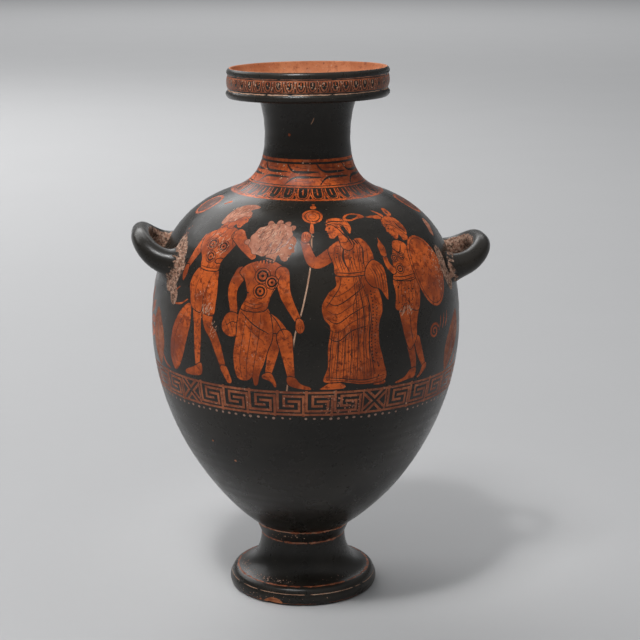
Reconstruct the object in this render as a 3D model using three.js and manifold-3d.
// Hydria: a three-handled water jar, thrown, joined and fired as one piece of clay.
// Millimetres, +Z up. The side handles lie along X, the pouring handle at +Y,
// and the painted front faces -Y. The jar stands on the floor at Z = 0.

import * as THREE from 'three';
import { mergeVertices } from 'three/addons/utils/BufferGeometryUtils.js';
import Module from 'manifold-3d';

// Heights up the jar
const HEIGHT = 480;
const FOOT_DISC_TOP = 16.6;
const STEM_WAIST = 50;
const COLLAR = 62;
const BELLY = 250;
const SHOULDER = 371;
const NECK_WAIST = 420;
const RIM_BASE = 454.5;
const FASCIA_BASE = 461.4;
const LIP_BASE = 474.2;

// Outer radii
const FOOT_R = 68.4;
const FOOT_DISC_R = 60.6;
const STEM_R = 38.9;
const COLLAR_R = 44;
const BELLY_R = 139.2;
const SHOULDER_R = 69.3;
const NECK_R = 38.3;
const NECK_TOP_R = 44;
const RIM_R = 73.8;
const FASCIA_R = 71.8;
const LIP_R = 72.5;

// Mouldings of the foot and rim: how far each bead swells, and where it tucks in
const FOOT_BEAD = 1.7;
const FOOT_DISC_BEAD = 1.5;
const RIM_BEAD = 2.1;
const FASCIA_BEAD = 1.4;
const LIP_BEAD = 1.5;
const FOOT_GROOVE = 11;
const FOOT_CHAMFER = 0.9;

// Radius and height of the points that pull each curve of the profile out or in
const STEM_PULLS = [[48, 19], [STEM_R, 31]];
const LOWER_BODY_PULLS = [[96, 100], [BELLY_R, 174]];
const UPPER_BODY_PULLS = [[BELLY_R, 310], [121, 353]];
const NECK_ROOT_PULLS = [[50.5, 377.5], [NECK_R, 389]];
const NECK_PULLS = [[NECK_R, 436], [41, 447]];

// Walls and hollows
const WALL = 6;
const FLOOR_TOP = 69;
const FLOOR_R = 36;
const LIP_WIDTH = 4.2;
const BORE_R = NECK_R - WALL;
const HOLLOW_BELLY_R = BELLY_R - WALL;
const HOLLOW_LOWER_PULLS = [[88, 104], [HOLLOW_BELLY_R, 182]];
const HOLLOW_UPPER_PULLS = [[HOLLOW_BELLY_R, 307], [117, 346]];
const HOLLOW_NECK_PULLS = [[46, 372], [BORE_R, 387]];
const MOUTH_PULLS = [[40, 464], [64, 460]];
const FOOT_HOLLOW_R = 53;
const FOOT_HOLLOW_TOP = 52;
const FOOT_HOLLOW_PULLS = [[46, 8], [24, FOOT_HOLLOW_TOP]];
const OVERCUT = 5;

// Handles: reach is from the jar's axis to the middle of the grip
const GRIP_R = 8;
const SIDE_SWELL = 1.7;
const ROOT_DEPTH = 14;
const ARCH_SQUARENESS = 0.62;
const ARCH_LIFT = 3;
const SIDE_HANDLES = [
  { side: -1, reach: 148.8, gripHeight: 332, rootHeight: 313.5, spread: 21 },
  { side: 1, reach: 157, gripHeight: 324, rootHeight: 307, spread: 17.5 },
];
const BACK_HANDLE = { width: 25, thickness: 14, neckHeight: 432, reach: 96, shoulderHeight: 344 };
const BACK_SWELL = 1.44;
const BACK_PULLS = [{ y: 90, z: 448 }, { y: 100, z: 402 }];

// The jar settled in the kiln: its body leans to +X over a level foot
const LEAN = 0.0105;
const LEAN_FROM = 55;
const COLLAR_SHIFT = 1;
const RIM_TILT = -0.014;
const FOOT_X = -8;

// Faceting
const SEGMENTS = 48;
const TUBE_SIDES = 12;
const TUBE_STEPS = 16;

const CLAY = new THREE.MeshStandardMaterial({ color: 0x2b2826, roughness: 0.32, metalness: 0 });

const wasm = await Module();
wasm.setup();

const point = (r, z) => new THREE.Vector2(r, z);

// Points along a cubic curve between two profile points, without the first
function sweep(steps, from, pulls, to) {
  const [first, second] = pulls.map(([r, z]) => point(r, z));
  return new THREE.CubicBezierCurve(from, first, second, to).getPoints(steps).slice(1);
}

// Points on a half-round moulding that swells from one profile point to another
function bead(steps, from, to, swell) {
  const middle = from.clone().lerp(to, 0.5);
  const out = to.clone().sub(from).rotateAround(point(0, 0), -Math.PI / 2).normalize();
  const top = middle.addScaledVector(out, 2 * swell);
  return new THREE.QuadraticBezierCurve(from, top, to).getPoints(steps).slice(1);
}

// Outer surface of the jar, from the axis at the floor to the axis at the rim
function outerProfile() {
  const footEdge = point(FOOT_R - FOOT_BEAD, FOOT_CHAMFER);
  const groove = point(FOOT_R - FOOT_BEAD, FOOT_GROOVE);
  const disc = point(FOOT_DISC_R, FOOT_DISC_TOP);
  const waist = point(STEM_R, STEM_WAIST);
  const crease = point(COLLAR_R, COLLAR);
  const belly = point(BELLY_R, BELLY);
  const shoulder = point(SHOULDER_R, SHOULDER);
  const neck = point(NECK_R, NECK_WAIST);
  const neckTop = point(NECK_TOP_R, RIM_BASE);
  const rimUnder = point(RIM_R - 1.5 * RIM_BEAD, RIM_BASE);
  const fascia = point(FASCIA_R - FASCIA_BEAD, FASCIA_BASE);
  const lipUnder = point(LIP_R - LIP_BEAD, LIP_BASE);
  const lipTop = point(LIP_R - 1.7 * LIP_BEAD, HEIGHT);
  return [
    point(0, 0),
    point(FOOT_R - 2 * FOOT_BEAD, 0),
    ...bead(4, footEdge, groove, FOOT_BEAD),
    ...bead(3, groove, disc, FOOT_DISC_BEAD),
    ...sweep(5, disc, STEM_PULLS, waist),
    waist.clone().lerp(crease, 0.4),
    crease,
    ...sweep(9, crease, LOWER_BODY_PULLS, belly),
    ...sweep(8, belly, UPPER_BODY_PULLS, shoulder),
    ...sweep(6, shoulder, NECK_ROOT_PULLS, neck),
    ...sweep(4, neck, NECK_PULLS, neckTop),
    rimUnder,
    ...bead(4, rimUnder, fascia, RIM_BEAD),
    ...bead(4, fascia, lipUnder, FASCIA_BEAD),
    ...bead(4, lipUnder, lipTop, LIP_BEAD),
    point(0, HEIGHT),
  ];
}

// Hollow of the jar, from its floor up through the neck and out of the mouth
function cavityProfile() {
  const floor = point(FLOOR_R, FLOOR_TOP + WALL / 2);
  const belly = point(HOLLOW_BELLY_R, BELLY);
  const shoulder = point(SHOULDER_R - WALL / 2, SHOULDER - WALL);
  const throat = point(BORE_R, NECK_WAIST);
  const mouthFloor = point(BORE_R + 1, RIM_BASE - WALL / 2);
  const lip = point(LIP_R - LIP_WIDTH, HEIGHT - 1);
  return [
    point(0, FLOOR_TOP),
    floor,
    ...sweep(7, floor, HOLLOW_LOWER_PULLS, belly),
    ...sweep(7, belly, HOLLOW_UPPER_PULLS, shoulder),
    ...sweep(4, shoulder, HOLLOW_NECK_PULLS, throat),
    mouthFloor,
    ...sweep(5, mouthFloor, MOUTH_PULLS, lip),
    point(lip.x, HEIGHT + OVERCUT),
    point(0, HEIGHT + OVERCUT),
  ];
}

// Open hollow under the foot, which leaves a standing ring
function footHollowProfile() {
  const edge = point(FOOT_HOLLOW_R, 0);
  const top = point(0, FOOT_HOLLOW_TOP);
  return [
    point(0, -OVERCUT),
    point(FOOT_HOLLOW_R, -OVERCUT),
    edge,
    ...sweep(5, edge, FOOT_HOLLOW_PULLS, top),
  ];
}

// A profile turned about the jar's axis
function turned(profile) {
  const geometry = new THREE.LatheGeometry(profile, SEGMENTS);
  return geometry.rotateX(Math.PI / 2);
}

// Outer radius of the body at a height
function bodyRadius(z) {
  const profile = outerProfile().filter((p) => p.y > COLLAR && p.y < NECK_WAIST);
  const above = profile.findIndex((p) => p.y >= z);
  const [low, high] = [profile[above - 1], profile[above]];
  return THREE.MathUtils.mapLinear(z, low.y, high.y, low.x, high.x);
}

// Squared arch of a side handle, level at its roots and curving up to the grip
class SideArch extends THREE.Curve {
  constructor({ side, reach, gripHeight, rootHeight, spread }) {
    super();
    const rootRadius = bodyRadius(rootHeight) - ROOT_DEPTH;
    const angle = THREE.MathUtils.degToRad(spread);
    this.side = side;
    this.from = rootRadius * Math.cos(angle);
    this.halfSpan = (rootRadius + ROOT_DEPTH) * Math.sin(angle);
    this.rise = gripHeight - rootHeight;
    Object.assign(this, { reach, rootHeight });
  }

  getPoint(t, target = new THREE.Vector3()) {
    const angle = (t - 0.5) * Math.PI;
    const across = Math.sign(angle) * Math.abs(Math.sin(angle)) ** ARCH_SQUARENESS;
    const out = Math.max(0, Math.cos(angle)) ** ARCH_SQUARENESS;
    const x = this.from + (this.reach - this.from) * out;
    const z = this.rootHeight + this.rise * out ** ARCH_LIFT;
    return target.set(this.side * x, this.halfSpan * across, z);
  }
}

// Pouring handle: springs from the neck below the rim and drops to the shoulder
function backArch() {
  const { neckHeight, reach, shoulderHeight } = BACK_HANDLE;
  return new THREE.CubicBezierCurve3(
    new THREE.Vector3(0, NECK_R - WALL / 2, neckHeight),
    ...BACK_PULLS.map(({ y, z }) => new THREE.Vector3(0, y, z)),
    new THREE.Vector3(0, reach, shoulderHeight),
  );
}

// A rod along a curve, with an oval section that swells towards both roots
function rod(curve, halfWidth, halfThickness, swell) {
  const outline = new THREE.Shape();
  outline.absellipse(0, 0, halfWidth, halfThickness, 0, 2 * Math.PI);
  const section = new THREE.Shape(outline.getPoints(TUBE_SIDES / 2).slice(0, TUBE_SIDES));
  const geometry = new THREE.ExtrudeGeometry(section, { steps: TUBE_STEPS, extrudePath: curve });
  const centres = curve.getSpacedPoints(TUBE_STEPS);
  const position = geometry.attributes.position;
  const vertex = new THREE.Vector3();
  for (let i = 0; i < position.count; i += 1) {
    vertex.fromBufferAttribute(position, i);
    const gaps = centres.map((centre) => centre.distanceTo(vertex));
    const step = gaps.indexOf(Math.min(...gaps));
    const towardsRoot = ((2 * step) / TUBE_STEPS - 1) ** 2;
    vertex.sub(centres[step]).multiplyScalar(1 + (swell - 1) * towardsRoot).add(centres[step]);
    position.setXYZ(i, vertex.x, vertex.y, vertex.z);
  }
  return geometry;
}

function solid(geometry) {
  geometry.deleteAttribute('normal');
  geometry.deleteAttribute('uv');
  const merged = mergeVertices(geometry, 1e-4);
  const triangles = [];
  for (let i = 0; i < merged.index.count; i += 3) {
    const [a, b, c] = [0, 1, 2].map((k) => merged.index.getX(i + k));
    if (a !== b && b !== c && c !== a) triangles.push(a, b, c);
  }
  return new wasm.Manifold(new wasm.Mesh({
    numProp: 3,
    vertProperties: new Float32Array(merged.attributes.position.array),
    triVerts: new Uint32Array(triangles),
  }));
}

// The lean of the body, and the way each level of it tilts
function settle(vertex) {
  const up = THREE.MathUtils.smoothstep(vertex.z, LEAN_FROM, 2 * LEAN_FROM);
  const towardsRim = THREE.MathUtils.smoothstep(vertex.z, SHOULDER, RIM_BASE);
  const tilt = THREE.MathUtils.lerp(LEAN * up, RIM_TILT, towardsRim);
  const shift = COLLAR_SHIFT * up + LEAN * Math.max(0, vertex.z - LEAN_FROM);
  return vertex.set(vertex.x + shift, vertex.y, vertex.z - tilt * vertex.x);
}

function meshFrom(manifold, name, material) {
  const { vertProperties, triVerts } = manifold.getMesh();
  const geometry = new THREE.BufferGeometry();
  geometry.setAttribute('position', new THREE.BufferAttribute(new Float32Array(vertProperties), 3));
  geometry.setIndex(new THREE.BufferAttribute(new Uint32Array(triVerts), 1));
  const position = geometry.attributes.position;
  const vertex = new THREE.Vector3();
  for (let i = 0; i < position.count; i += 1) {
    settle(vertex.fromBufferAttribute(position, i));
    position.setXYZ(i, vertex.x, vertex.y, vertex.z);
  }
  geometry.computeVertexNormals();
  const mesh = new THREE.Mesh(geometry, material);
  mesh.name = name;
  return mesh;
}

function hydria() {
  let jar = solid(turned(outerProfile()));
  for (const handle of SIDE_HANDLES) {
    jar = jar.add(solid(rod(new SideArch(handle), GRIP_R, GRIP_R, SIDE_SWELL)));
  }
  const { width, thickness } = BACK_HANDLE;
  jar = jar.add(solid(rod(backArch(), width / 2, thickness / 2, BACK_SWELL)));
  jar = jar.subtract(solid(turned(cavityProfile())));
  jar = jar.subtract(solid(turned(footHollowProfile())));
  return meshFrom(jar, 'hydria', CLAY);
}

const group = new THREE.Group();
group.add(hydria());
group.position.x = FOOT_X;

export default group;
